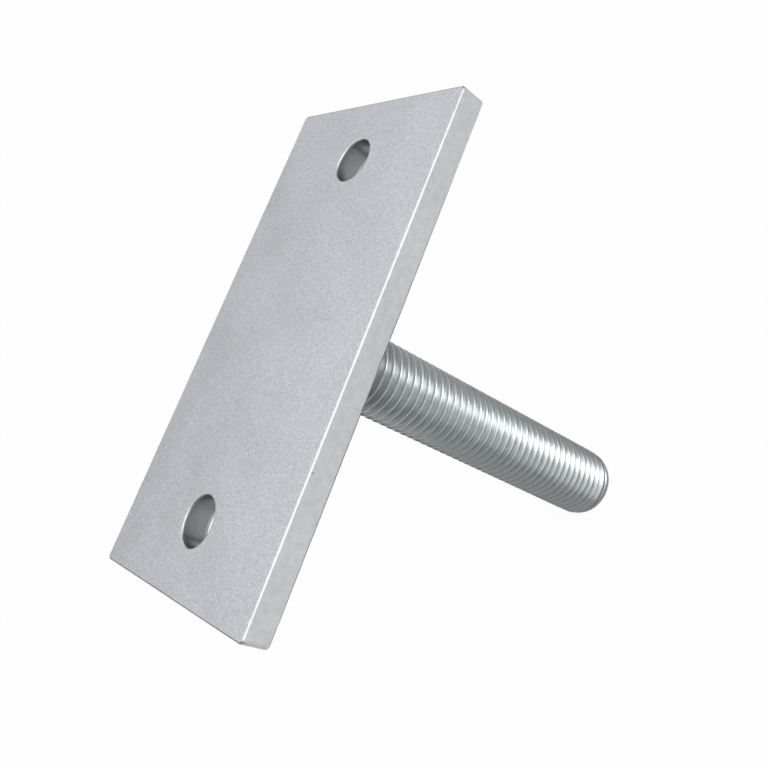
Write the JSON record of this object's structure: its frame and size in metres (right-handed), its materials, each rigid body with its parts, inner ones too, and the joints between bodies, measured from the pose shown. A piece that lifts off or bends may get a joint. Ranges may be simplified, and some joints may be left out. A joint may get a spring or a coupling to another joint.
{
  "type": "adjustable stump head",
  "caption": "Steel stump head: flat rectangular bearing plate with bolt holes on a threaded rod welded square under its centre.",
  "frame": {"origin": "centre of the bearing plate's top face", "axes": "+Z out of the plate's top face, +Y along the plate's length, +X across it; the rod hangs down -Z"},
  "size_m": [0.08, 0.15, 0.148],
  "materials": {
    "plate_steel": "matt zinc-plated flat bar",
    "rod_steel": "bright zinc-plated thread",
    "weld_metal": "plated weld bead"
  },
  "bodies": {
    "root": {"bearing_plate": "plate_steel", "threaded_rod": "rod_steel", "fillet_weld": "weld_metal"}
  },
  "joints": []
}
